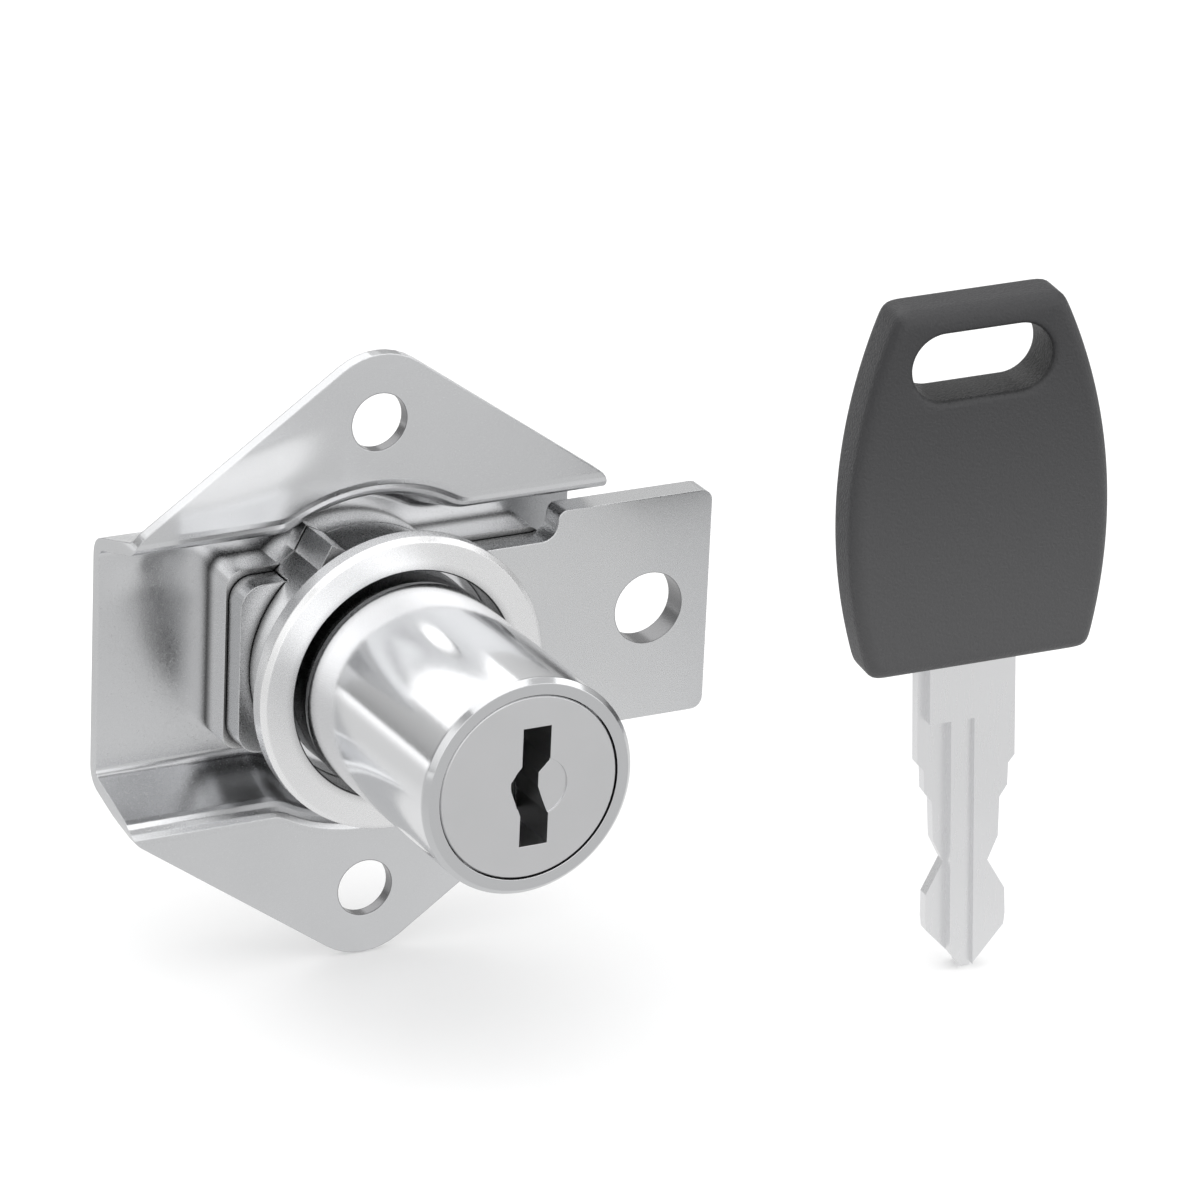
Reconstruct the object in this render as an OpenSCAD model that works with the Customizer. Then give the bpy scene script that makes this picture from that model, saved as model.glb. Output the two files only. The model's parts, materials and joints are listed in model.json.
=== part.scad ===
// Cabinet lock with a sliding bolt, a stamped diamond mounting plate and a key.
// Millimetres. X to the right, Z up, the barrel points along -Y.
// The origin is on the barrel axis, in the front plane of the plate's two halves.

/* [Mounting plate] */
// Thickness of the sheet
plate_t = 0.95; // [0.8:0.05:1.3]
// Width of the plate and of its trough
plate_w = 37.2; // [35:0.1:41]
// Height of the side tips above the barrel axis
tip_z = 11.3; // [11.2:0.1:13]
// Radius of the side tips
tip_r = 2; // [0.8:0.1:2.5]
// Spacing of the two screw holes
screw_gap = 36; // [35:0.5:42]
// Diameter of the screw holes
screw_hole_d = 4.3; // [3.5:0.1:5]
// Radius of the round lobe about each screw hole
lobe_r = 5.1; // [4.5:0.1:7]
// Depth of the trough behind the halves
trough_depth = 6.3; // [6:0.1:8]
// Height of the trough at its mouth
mouth_h = 20.9; // [20:0.1:21.5]
// Height of the flat trough floor
floor_h = 17.3; // [17:0.1:18.5]
// Gap between the housing and the arch around it, at the arch's mouth
arch_gap = 3.25; // [2.8:0.05:3.9]
// Blend radius between the arch and the straight wall
arch_blend_r = 3; // [2:0.5:4]
// Inside radius of the sheet's bends
bend_r = 0.7; // [0.4:0.1:1]

/* [Housing] */
// Diameter of the round housing
neck_d = 18.3; // [18:0.1:19]
// Wall of the round housing about its bore
housing_wall = 0.55; // [0.5:0.05:0.7]
// Wall of the housing above and below the bolt
guide_wall = 2.7; // [2.6:0.1:3.1]
// Front of the round housing, ahead of the plate
neck_front = 4.3; // [3.5:0.1:4.8]
// Reach of the base block to the left
block_left = 10.1; // [10:0.1:11]
// Reach of the base block to the right
block_right = 14.9; // [14:0.1:15.1]
// Height of the base block
block_h = 13.8; // [13.4:0.1:14.5]
// Corner radius of the base block
block_r = 1.2; // [0.5:0.1:2]
// Height of the cast locating lug
lug_h = 1.8; // [1.2:0.1:2.2]
// Thickness of the cast locating lug
lug_t = 1.3; // [0.8:0.1:1.6]
// Diameter of the rivets through the housing
rivet_d = 1.2; // [1:0.1:1.3]

/* [Collar] */
// Outer diameter of the collar ring
ring_d = 22.2; // [21.5:0.1:23]
// Front of the collar, ahead of the plate
ring_front = 5.3; // [5.1:0.1:6]
// Length of the collar's skirt over the housing
ring_skirt = 0.6; // [0.5:0.1:1.5]
// Bevel on the collar's front edge
ring_bevel = 0.35; // [0.1:0.05:0.6]

/* [Barrel] */
// Outer diameter of the barrel ahead of the collar
barrel_d = 16; // [15.5:0.1:16.4]
// Gap between the collar and the barrel's shank inside it
ring_gap = 0.7; // [0.5:0.05:0.9]
// Wall of the barrel about the plug
barrel_wall = 1.75; // [1.6:0.05:1.9]
// Width of the barrel's rim about the plug's face
rim_w = 1.25; // [1.1:0.05:1.5]
// Front of the barrel, ahead of the plate
barrel_front = 24.7; // [22:0.1:32]
// Bevel round the barrel's front rim
rim_bevel = 0.35; // [0.1:0.05:0.6]
// Length of the barrel's foot that fits the housing
foot_len = 1.6; // [1.3:0.1:2.2]

/* [Plug and wafers] */
// Thickness of the plug's face flange
plug_face_t = 1.9; // [1.5:0.1:2.5]
// Radial clearance of the plug in the barrel
plug_fit = 0.09; // [0.05:0.01:0.1]
// Height of the keyway
keyway_h = 8.8; // [8.4:0.1:9.4]
// Width of the keyway
keyway_w = 2.15; // [2.1:0.05:2.4]
// Depth of the keyway
keyway_depth = 22.3; // [18:0.1:22.4]
// Thickness of a wafer
wafer_t = 0.9; // [0.6:0.1:1.2]
// Distance between wafers
wafer_pitch = 2.6; // [2.2:0.1:2.8]
// How far a wafer moves out when the key is drawn
wafer_lift = 0.7; // [0.4:0.1:0.8]

/* [Drive] */
// Thickness of the drive disc
disc_t = 1.05; // [0.8:0.05:1.1]
// Diameter of the crank pin
crank_d = 2.2; // [1.8:0.1:2.4]
// Travel of the bolt for a quarter turn
bolt_travel = 7; // [5:0.5:7]

/* [Bolt] */
// Thickness of the bolt
bolt_t = 2; // [1.6:0.1:2.1]
// Depth of the bolt's front face behind the plate's front plane
bolt_y = 1.1; // [1:0.05:1.3]
// Reach of the bolt's neck to the left
bolt_left = 9.9; // [9:0.1:10.1]
// Height of the bolt's tab
tab_h = 17.3; // [15:0.1:17.6]
// Left edge of the tab
tab_x = 15.2; // [15.1:0.1:17]
// Right end of the tab
tab_end = 27.8; // [26.5:0.1:34]
// Centre of the hole in the tab
tab_hole_x = 22.9; // [21:0.1:23.5]
// Diameter of the hole in the tab
tab_hole_d = 5.5; // [4:0.1:7]

/* [Key] */
// Widest part of the key head
head_w = 19.8; // [19.4:0.1:24]
// Width of the key head at its top
head_top_w = 12.4; // [12:0.1:15]
// Width of the key head at its bottom
head_low_w = 16.8; // [15:0.1:18]
// Height of the key head
head_h = 27.7; // [25:0.1:32]
// Thickness of the key head
head_t = 4.3; // [4:0.1:5.5]
// Length of the slot for a key ring
ring_slot_w = 10.6; // [9:0.1:11]
// Height of the slot for a key ring
ring_slot_h = 5; // [4.8:0.1:5.4]
// Length of the blade outside the head
blade_len = 24.5; // [23.6:0.1:27]
// Set of the blade to the left of the head's middle
blade_set = 0.5; // [0:0.1:0.8]
// Width of the blade at its shoulder
blade_w = 7.2; // [7:0.1:8]
// Thickness of the blade
blade_t = 1.9; // [1.7:0.05:2]
// Lean of the standing key to the left, in degrees
key_lean = 3.7; // [0:0.1:6]
// Turn of the standing key about its own length, in degrees
key_yaw = 8; // [0:0.5:15]

/* [Hidden] */
$fn = 96;
eps = 0.01;

// Sliding clearance of flat faces that pass each other
slide = 0.1;

// How far a cut goes past the face that it opens
past = 1;

// A small chamfer that takes the edge off a turned piece
edge_break = 0.1;

// From the housing inwards: its bore, the barrel's shank in it, and the plug in the slimmer part
ring_bore_d = neck_d - 2 * housing_wall;
shank_d = ring_bore_d - 2 * ring_gap;
plug_d = min(shank_d, barrel_d) - 2 * barrel_wall;
plug_face_d = barrel_d - 2 * rim_w;
arch_d = neck_d + 2 * arch_gap;
neck_h = neck_d - 2 * guide_wall;

// A list of [x, y, radius] corners as a polygon whose corners are round
function unit(v) = v / norm(v);
function corner_arc(a, b, c, r, n) =
    let (u = unit(a - b), v = unit(c - b), half = acos(u * v) / 2,
         centre = b + unit(u + v) * r / sin(half),
         start = b + u * r / tan(half) - centre,
         side = sign(u.x * v.y - u.y * v.x),
         sweep = (180 - 2 * half) * side)
    [for (i = [0 : n]) let (t = -sweep * i / n)
        centre + [start.x * cos(t) - start.y * sin(t), start.x * sin(t) + start.y * cos(t)]];
function rounded(p, n = 8) =
    [for (i = [0 : len(p) - 1])
        let (a = p[(i + len(p) - 1) % len(p)], b = p[i], c = p[(i + 1) % len(p)])
        each (b[2] > 0
            ? corner_arc([a.x, a.y], [b.x, b.y], [c.x, c.y], b[2], n)
            : [[b.x, b.y]])];

// A flat outline in X and Z, given depth from y0 to y1
module along_y(y0, y1) {
    translate([0, y1, 0]) rotate([90, 0, 0]) linear_extrude(y1 - y0) children();
}

// A profile of [radius, y], turned about the Y axis
module about_y() {
    rotate([-90, 0, 0]) rotate_extrude() children();
}

// A round bar along Y
module bar(d, y0, y1, x = 0, z = 0) {
    translate([x, y0, z]) rotate([-90, 0, 0]) cylinder(d = d, h = y1 - y0);
}

// The height of the diamond's sharp apex, so that the lobe is centred on its hole
screw_z = screw_gap / 2;
edge_slope = atan2(screw_z - tip_z, plate_w / 2) + asin(lobe_r / norm([plate_w / 2, screw_z - tip_z]));
apex_z = tip_z + plate_w / 2 * tan(edge_slope);

// The trough's wall leans out from the floor to the mouth, on the sheet's front skin or behind it
wall_lean = atan2((mouth_h - floor_h) / 2, trough_depth);
function wall_arcs(half_h, skin) =
    let (mouth = [half_h + skin * (1 / cos(wall_lean) - tan(wall_lean)), skin],
         foot = [mouth.x - trough_depth * tan(wall_lean), trough_depth + skin])
    concat(corner_arc([0, foot.y], foot, mouth, bend_r + skin, 5),
        corner_arc(foot, mouth, [mouth.x + 9, skin], bend_r + plate_t - skin, 5));

blend_z = mouth_h / 2 + arch_blend_r;
blend_x = sqrt(pow(arch_d / 2 + arch_blend_r, 2) - pow(blend_z, 2));

// Everything inside one skin of the trough: a channel, an arch about the housing and four blends
module trough_form(skin, reach) {
    channel = wall_arcs(mouth_h / 2, skin);
    arch = wall_arcs(arch_d / 2, skin);
    deep = trough_depth + skin;
    brink = skin - eps;
    translate([-reach / 2, 0, 0]) rotate([90, 0, 90]) linear_extrude(reach)
        for (side = [-1, 1])
            polygon(concat([[deep, 0]], [for (p = channel) [p.y, side * p.x]],
                [[brink, side * channel[len(channel) - 1].x], [brink, 0]]));
    about_y() polygon(concat([[0, deep]], arch, [[arch[len(arch) - 1].x, brink], [0, brink]]));
    for (x_side = [-1, 1], z_side = [-1, 1])
        difference() {
            along_y(brink, deep)
                polygon([[0, 0], [x_side * blend_x, z_side * blend_z], [x_side * blend_x, 0]]);
            translate([x_side * blend_x, 0, z_side * blend_z]) about_y()
                polygon(concat([[0, deep + past], [blend_z - channel[0].x, deep + past]],
                    [for (p = channel) [blend_z - p.x, p.y]],
                    [[blend_z - channel[len(channel) - 1].x, brink - past], [0, brink - past]]));
        }
}

// The rivets stand just inside the round housing's edge
rivet_x = 3.5;
rivet_edge = 0.72;
rivet_z = sqrt(pow(neck_d / 2 - rivet_edge, 2) - pow(rivet_x, 2));
rivet_depth = 3.2;
rivet_head_d = 2.8;
rivet_head_t = 0.7;
rivet_head_rim = 0.25;
rivet_head_dome = 0.45;
module at_rivets() {
    for (x = [-1, 1], z = [-1, 1]) translate([x * rivet_x, 0, z * rivet_z]) children();
}

module mounting_plate() {
    diamond = rounded([
        [0, apex_z, lobe_r], [plate_w / 2, tip_z, tip_r], [plate_w / 2, -tip_z, tip_r],
        [0, -apex_z, lobe_r], [-plate_w / 2, -tip_z, tip_r], [-plate_w / 2, tip_z, tip_r]]);
    color("silver") difference() {
        intersection() {
            union() {
                along_y(0, plate_t) polygon(diamond);
                trough_form(plate_t, plate_w + 2 * past);
            }
            along_y(-past, trough_depth + plate_t + past) polygon(diamond);
        }
        trough_form(0, plate_w + 4 * past);
        for (side = [-1, 1]) bar(screw_hole_d, -past, plate_t + past, 0, side * screw_z);
        at_rivets() bar(rivet_d, trough_depth - past, trough_depth + plate_t + past);
    }
}

// Depths along the barrel's axis, front to back
disc_to_bolt = 0.35;
disc_play = 0.05;
disc_y1 = bolt_y - disc_to_bolt;
disc_y0 = disc_y1 - disc_t;
barrel_rear = disc_y0 - disc_play;
channel_y0 = bolt_y - slide;
channel_y1 = bolt_y + bolt_t + slide;
disc_set = 1.85;
disc_d = neck_d - 2 * disc_set;
pocket_gap = 0.4;
pocket_d = disc_d + 2 * pocket_gap;
crank_recess = 0.6;
recess_gap = 0.4;

// The crank stands 45 degrees either side of straight up, so the bolt moves by its chord
crank_r = bolt_travel / sqrt(2);
crank_x = -bolt_travel / 2;
crank_z = bolt_travel / 2;
pin_gap = 0.2;

// The two castings meet at the back of the bolt, where a fine groove shows their joint
joint_groove = 0.12;
front_lug = [-1, channel_y1 - joint_groove];
rear_lug = [channel_y1 + joint_groove, channel_y1 + 1.5];
lug_root = 1;
lug_at = 30.8;
lug_corner = (neck_d / 2 + 0.12) * [-sin(lug_at), cos(lug_at)];
lug_tilt = 27;
barrel_pin_d = 1.2;
barrel_pin_y = barrel_rear - foot_len / 2;
barrel_pin_bite = 1.3;
barrel_pin_root = ring_bore_d / 2 - barrel_pin_bite;

module base_block() {
    color("lightgray") difference() {
        union() {
            about_y() polygon([[0, channel_y1], [neck_d / 2 - joint_groove, channel_y1],
                [neck_d / 2, channel_y1 + joint_groove], [neck_d / 2, trough_depth], [0, trough_depth]]);
            along_y(channel_y1, trough_depth) polygon(rounded([
                [-block_left, block_h / 2, block_r], [block_right, block_h / 2, block_r],
                [block_right, -block_h / 2, block_r], [-block_left, -block_h / 2, block_r]]));
            locating_lug(rear_lug);
        }
        bar(2 * crank_r + crank_d + 2 * recess_gap, channel_y1 - past, channel_y1 + crank_recess);
        at_rivets() bar(rivet_d, channel_y1 - past, trough_depth + past);
    }
}

module lock_housing() {
    color("lightgray") difference() {
        union() {
            about_y() polygon([[0, -neck_front], [neck_d / 2, -neck_front],
                [neck_d / 2, channel_y1 - joint_groove], [neck_d / 2 - joint_groove, channel_y1],
                [0, channel_y1]]);
            locating_lug(front_lug);
        }
        bar(ring_bore_d, -neck_front - past, barrel_rear);
        bar(pocket_d, barrel_rear - past, channel_y0 + past);
        translate([-neck_d, channel_y0, -neck_h / 2 - slide])
            cube([2 * neck_d, bolt_t + 2 * past, neck_h + 2 * slide]);
        at_rivets() bar(rivet_d, channel_y1 - rivet_depth - 2 * slide, channel_y1 + past);
        barrel_pin_bore();
    }
}

// The lug stands on the round housing, in the end of the plate's arch
module locating_lug(reach) {
    along_y(reach[0], reach[1]) translate(lug_corner) rotate(-lug_tilt)
        translate([0, -lug_root]) square([lug_t, lug_h + lug_root]);
}

module housing_rivets() {
    color("gray") at_rivets() {
        bar(rivet_d, channel_y1 - rivet_depth, trough_depth + plate_t + eps);
        translate([0, trough_depth + plate_t, 0]) about_y()
            polygon([[0, 0], [rivet_head_d / 2, 0], [rivet_head_d / 2, rivet_head_rim],
                [rivet_head_d / 2 - rivet_head_dome, rivet_head_t], [0, rivet_head_t]]);
    }
}

// The pin goes up from below, through the housing's wall into the barrel's foot
module barrel_pin_bore() {
    translate([0, barrel_pin_y, -neck_d]) cylinder(d = barrel_pin_d, h = neck_d - barrel_pin_root);
}

module barrel_pin() {
    color("dimgray") translate([0, barrel_pin_y, slide - neck_d / 2])
        cylinder(d = barrel_pin_d, h = neck_d / 2 - 2 * slide - barrel_pin_root);
}

// The collar's skirt is pressed over the front of the housing
module collar_ring() {
    r = ring_d / 2;
    skirt_y = ring_skirt - neck_front;
    color("gainsboro") about_y() polygon([
        [ring_bore_d / 2 + edge_break, -ring_front], [r - ring_bevel, -ring_front],
        [r, -ring_front + ring_bevel], [r, skirt_y - edge_break], [r - edge_break, skirt_y],
        [neck_d / 2, skirt_y], [neck_d / 2, -neck_front], [ring_bore_d / 2, -neck_front],
        [ring_bore_d / 2, -ring_front + edge_break]]);
}

barrel_bore = plug_d + 2 * plug_fit;
face_bore = plug_face_d + 2 * plug_fit;
face_set = 0.05;
face_play = 0.1;
plug_front = -barrel_front + face_set;
face_seat_y = plug_front + plug_face_t + face_play;
wafer_set = 2.85;
wafer_w = plug_d - 2 * wafer_set;
groove_gap = 0.3;
groove_r = plug_d / 2 + wafer_lift + 0.25;
groove_land = 1;
foot_fit = 0.02;
shoulder = 0.6;
shoulder_y = -ring_front - shoulder / 2;
stop_half_angle = 8;
stop_gap = 0.15;

// A wedge of the XZ plane between two angles from straight up, towards the right
module sector(r, a0, a1) {
    polygon(concat([[0, 0]],
        [for (i = [0 : 12]) let (a = a0 + (a1 - a0) * i / 12) r * [sin(a), cos(a)]]));
}

module barrel() {
    r = barrel_d / 2;
    color("whitesmoke") {
        difference() {
            about_y() polygon([
                [face_bore / 2, -barrel_front], [r - rim_bevel, -barrel_front],
                [r, -barrel_front + rim_bevel],
                [r, shoulder_y - shoulder], [shank_d / 2, shoulder_y],
                [shank_d / 2, barrel_rear - foot_len], [ring_bore_d / 2 - foot_fit, barrel_rear - foot_len],
                [ring_bore_d / 2 - foot_fit, barrel_rear], [barrel_bore / 2, barrel_rear],
                [barrel_bore / 2, face_seat_y], [face_bore / 2, face_seat_y]]);
            for (turn = [0, 90]) rotate([0, turn, 0]) intersection() {
                bar(2 * groove_r, face_seat_y + groove_land, barrel_rear - foot_len - groove_land / 2);
                translate([-wafer_w / 2 - groove_gap, face_seat_y, -barrel_d])
                    cube([wafer_w + 2 * groove_gap, barrel_rear - face_seat_y, 2 * barrel_d]);
            }
            barrel_pin_bore();
        }
        difference() {
            along_y(barrel_rear - eps, disc_y1 - stop_gap) intersection() {
                circle(d = disc_d);
                sector(barrel_d, 180 - stop_half_angle, 180 + stop_half_angle);
            }
            bar(barrel_bore + 2 * stop_gap, barrel_rear - past, disc_y1);
        }
    }
}

// The keyway jogs to the left about the middle of the plug
keyway_x = 0.5;
jog = 0.8;
right_jog = [[0, 1.75], [-jog, 0.95], [-jog, -0.1], [-0.45, -1.1], [0, -2.2]];
left_jog = [[0, -2.1], [-jog, 0.1], [-jog, 0.5], [0, 1.6]];
function keyway_outline() =
    let (l = [keyway_x - keyway_w / 2, 0], r = [keyway_x + keyway_w / 2, 0], top = [0, keyway_h / 2])
    concat([l + top, r + top], [for (p = right_jog) r + p], [r - top, l - top], [for (p = left_jog) l + p]);
dimple_x = 0.8;
dimple_z = -0.1;
dimple_depth = 0.12;

tail_play = 0.03;
plug_rear = disc_y0 - tail_play;
tail = 4.6;
tail_fit = 0.02;
screw_d = 2;
screw_grip = 1;
screw_head_d = 5.6;
screw_head_t = 0.25;
screw_slot_w = 0.6;
screw_slot_depth = 0.13;
first_wafer = 5.2;
wafer_y0 = plug_front + first_wafer;
function wafer_y(i) = wafer_y0 + i * wafer_pitch;
function wafer_side(i) = i % 2 == 0 ? 1 : -1;
wafer_gap = 0.05;
wafer_window = 3.8;
wafer_rim = 1.1;
ear_set = 1.3;
ear_x = plug_d / 2 - ear_set;
ear_h = 1;
spring_set = 2;
spring_x = plug_d / 2 - spring_set;
spring_d = 1.3;
spring_len = 2.5;
spring_gap = 0.1;

module plug_core() {
    color("silver") difference() {
        union() {
            about_y() polygon([[0, plug_front], [plug_face_d / 2 - edge_break, plug_front],
                [plug_face_d / 2, plug_front + edge_break], [plug_face_d / 2, plug_front + plug_face_t],
                [plug_d / 2, plug_front + plug_face_t], [plug_d / 2, plug_rear], [0, plug_rear]]);
            translate([-tail / 2, plug_rear - eps, -tail / 2]) cube([tail, disc_t - slide, tail]);
        }
        along_y(plug_front - past, plug_front + keyway_depth) polygon(keyway_outline());
        bar(keyway_w * 2, plug_front - past, plug_front + dimple_depth, dimple_x, dimple_z);
        bar(screw_d, plug_rear - screw_grip - slide, disc_y1);
        for (i = [0 : 4]) translate([0, wafer_y(i), 0]) scale([wafer_side(i), 1, wafer_side(i)]) {
            wide = wafer_w / 2 + wafer_gap;
            thick = wafer_t + 2 * wafer_gap;
            translate([-wide, -thick / 2, -plug_d]) cube([2 * wide, thick, 2 * plug_d]);
            translate([0, -thick / 2, -ear_h / 2 - wafer_gap])
                cube([ear_x + 2 * wafer_gap, thick, ear_h + 2 * wafer_gap + wafer_lift]);
            translate([spring_x, 0, -ear_h / 2 - spring_len - spring_gap])
                cylinder(d = spring_d + 2 * spring_gap, h = spring_len + 2 * spring_gap);
        }
    }
}

// Half widths of the double bitted blade by distance from the tip
blade_cuts = [[0, 0.4], [0.4, 0.5], [3.1, 2.85], [4, 2.95], [6, 2.9], [8.5, 1.55], [10.3, 2.35],
    [13.4, 2.45], [14.3, 3.05], [16, 3.1], [16.6, blade_w / 2]];
tip_stop = 0.2;
function blade_half(d) = lookup(d, blade_cuts);
function wafer_bit(i) = blade_half(plug_front + keyway_depth - tip_stop - wafer_y(i));

// A wafer held level by the key's cut: its window rests on the cut against the spring
module wafer(i) {
    bottom = min(wafer_bit(i) + slide, plug_d / 2 - wafer_rim - slide);
    top = plug_d / 2 - wafer_rim;
    side = wafer_window / 2;
    color("goldenrod") translate([0, wafer_y(i), 0]) scale([wafer_side(i), 1, wafer_side(i)])
        along_y(-wafer_t / 2, wafer_t / 2) difference() {
            union() {
                intersection() {
                    circle(r = plug_d / 2 - wafer_gap);
                    square([wafer_w, plug_d], center = true);
                }
                translate([0, -ear_h / 2]) square([ear_x, ear_h]);
            }
            polygon([[-side, -bottom], [side, -bottom], [side, top], [-side, top]]);
        }
}

// One wire spring under each wafer's ear
coil_turns = 4;
wire_r = 0.13;
module coil() {
    steps = 10;
    sides = 6;
    mean_r = spring_d / 2 - wire_r;
    rise = spring_len - 2 * wire_r - spring_gap;
    ring = [for (k = [0 : coil_turns * steps], j = [0 : sides - 1])
        let (a = 360 * k / steps, b = 360 * j / sides, r = mean_r + wire_r * cos(b))
        [r * cos(a), r * sin(a), wire_r + rise * k / (coil_turns * steps) + wire_r * sin(b)]];
    walls = [for (k = [0 : coil_turns * steps - 1], j = [0 : sides - 1])
        let (n = (j + 1) % sides)
        [k * sides + j, (k + 1) * sides + j, (k + 1) * sides + n, k * sides + n]];
    last = coil_turns * steps * sides;
    polyhedron(ring, concat(walls, [[for (j = [0 : sides - 1]) j]],
        [[for (j = [sides - 1 : -1 : 0]) last + j]]));
}

module wafer_springs() {
    color("darkgray") for (i = [0 : 4])
        translate([0, wafer_y(i), 0]) scale([wafer_side(i), 1, wafer_side(i)])
            translate([spring_x, 0, -ear_h / 2 - spring_len]) coil();
}

// The disc's rim is cut away for the barrel's stop, which leaves it a quarter turn
module drive_disc() {
    stop_play = 1;
    hole = tail + 2 * tail_fit;
    color("darkgray") difference() {
        bar(disc_d - slide, disc_y0, disc_y1);
        difference() {
            along_y(disc_y0 - past, disc_y1 + past)
                sector(disc_d, 90 - stop_half_angle - stop_play, 180 + stop_half_angle + stop_play);
            bar(barrel_bore + slide, disc_y0 - 2 * past, disc_y1 + 2 * past);
        }
        translate([-hole / 2, disc_y0 - past, -hole / 2]) cube([hole, disc_t + 2 * past, hole]);
        bar(crank_d, disc_y0 - past, disc_y1 + past, crank_x, crank_z);
    }
}

module crank_pin() {
    chamfer = 0.2;
    end = channel_y1 + crank_recess - stop_gap;
    color("gray") translate([crank_x, 0, crank_z]) about_y()
        polygon([[0, disc_y0], [crank_d / 2, disc_y0], [crank_d / 2, end - chamfer],
            [crank_d / 2 - chamfer, end], [0, end]]);
}

// A flat headed screw in the plug's tail keeps the disc on
module disc_screw() {
    color("gray") difference() {
        union() {
            bar(screw_d, plug_rear - screw_grip, disc_y1);
            bar(screw_head_d, disc_y1, disc_y1 + screw_head_t);
        }
        translate([-screw_head_d, disc_y1 + screw_head_t - screw_slot_depth, -screw_slot_w / 2])
            cube([2 * screw_head_d, screw_head_t, screw_slot_w]);
    }
}

bolt_end_r = 1.7;
neck_corner = 1.3;
shoulder_r = 0.7;
tab_corner = 0.9;
module bolt() {
    h = neck_h / 2;
    t = tab_h / 2;
    notch = crank_d / 2 + pin_gap;
    color("silver") difference() {
        along_y(bolt_y, bolt_y + bolt_t) difference() {
            polygon(rounded([[-bolt_left, h, bolt_end_r], [tab_x, h, neck_corner],
                [tab_x, t, shoulder_r], [tab_end, t, tab_corner], [tab_end, -t, tab_corner],
                [tab_x, -t, shoulder_r], [tab_x, -h, neck_corner], [-bolt_left, -h, bolt_end_r]]));
            translate([crank_x - notch, crank_z]) square([2 * notch, h]);
            translate([crank_x, crank_z]) circle(r = notch);
        }
        bar(tab_hole_d, bolt_y - past, bolt_y + bolt_t + past, tab_hole_x, 0);
    }
}

// The key stands on its tip beside the lock, a little in front of the plate
key_x = 39.7;
key_y = -18.4;
key_foot = -23.1;
tang_len = 9;
tang_w = 6;
ledge_t = 1;
ledge_x = -1.35;
groove_end = 4.5;
groove_side = 0.45;
groove_depth = 0.5;
module key_place() {
    translate([key_x, key_y, key_foot]) rotate([0, -key_lean, 0]) rotate([0, 0, -key_yaw]) children();
}

// A groove along the blade's front face, from one width to another and up from the tip
module blade_groove(from, to, depth, end) {
    translate([from, -blade_t / 2 - past, -past]) cube([to - from, depth + past, end + past]);
}

module key_blade() {
    half = concat(blade_cuts, [[blade_len, blade_w / 2], [blade_len, tang_w / 2],
        [blade_len + tang_len, tang_w / 2]]);
    n = len(half);
    color("silver") key_place() difference() {
        along_y(-blade_t / 2, blade_t / 2)
            polygon(concat([for (p = half) [p[1], p[0]]],
                [for (i = [n - 1 : -1 : 0]) [-half[i][1], half[i][0]]]));
        blade_groove(-blade_w, ledge_x, blade_t - ledge_t, blade_len - groove_end);
        blade_groove(-blade_w, -tang_w / 2, blade_t - ledge_t, blade_len + past);
        blade_groove(-groove_side, groove_side, groove_depth, blade_len - groove_end);
    }
}

// A circle through the head's half width at its foot, at its widest and at its top
function three_point(a, b, c) =
    let (d = 2 * (a.x * (b.y - c.y) + b.x * (c.y - a.y) + c.x * (a.y - b.y)),
         aa = a * a, bb = b * b, cc = c * c)
    [(aa * (b.y - c.y) + bb * (c.y - a.y) + cc * (a.y - b.y)) / d,
     (aa * (c.x - b.x) + bb * (a.x - c.x) + cc * (b.x - a.x)) / d];

head_corner = 1.6;
head_waist = 0.42;
head_soft = 1.1;
slot_web = 1.9;
function head_side(inset) =
    let (a = [head_low_w / 2, 0], b = [head_w / 2, head_h * head_waist], c = [head_top_w / 2, head_h],
         m = three_point(a, b, c), r = norm(a - m) - inset,
         lo = asin((inset - m.y) / r), hi = asin((head_h - inset - m.y) / r), n = 10)
    [for (i = [0 : n]) let (t = lo + (hi - lo) * i / n) m + r * [cos(t), sin(t)]];
function head_outline(inset) =
    let (side = head_side(inset), n = len(side), cut = max(head_corner - inset, 0.5),
         low = side[0], high = side[n - 1])
    rounded(concat([[low.x, low.y, cut]], [for (i = [2 : n - 3]) [side[i].x, side[i].y, 0]],
        [[high.x, high.y, cut], [-high.x, high.y, cut]],
        [for (i = [n - 3 : -1 : 2]) [-side[i].x, side[i].y, 0]], [[-low.x, low.y, cut]]), 4);

// The moulded head is a pillow: each layer is drawn in along a quarter ellipse
module key_head() {
    layers = 4;
    color("dimgray") key_place() translate([blade_set, 0, blade_len]) difference() {
        hull() for (i = [0 : layers]) {
            inset = head_soft * (1 - cos(90 * i / layers));
            depth = head_t / 2 - head_soft + head_soft * sin(90 * i / layers);
            along_y(-depth, depth) polygon(head_outline(inset));
        }
        translate([0, 0, head_h - slot_web - ring_slot_h / 2]) along_y(-head_t, head_t)
            polygon(rounded([for (s = [[-1, 1], [1, 1], [1, -1], [-1, -1]])
                [s.x * ring_slot_w / 2, s.y * ring_slot_h / 2, ring_slot_h / 2 - edge_break / 2]]));
        translate([-tang_w / 2 - blade_set, -blade_t / 2, -past])
            cube([tang_w, blade_t, tang_len + past]);
    }
}

mounting_plate();
base_block();
lock_housing();
housing_rivets();
collar_ring();
barrel();
barrel_pin();
plug_core();
wafer(0);  // wafer_1
wafer(1);  // wafer_2
wafer(2);  // wafer_3
wafer(3);  // wafer_4
wafer(4);  // wafer_5
wafer_springs();
drive_disc();
crank_pin();
disc_screw();
bolt();
key_blade();
key_head();
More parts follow.
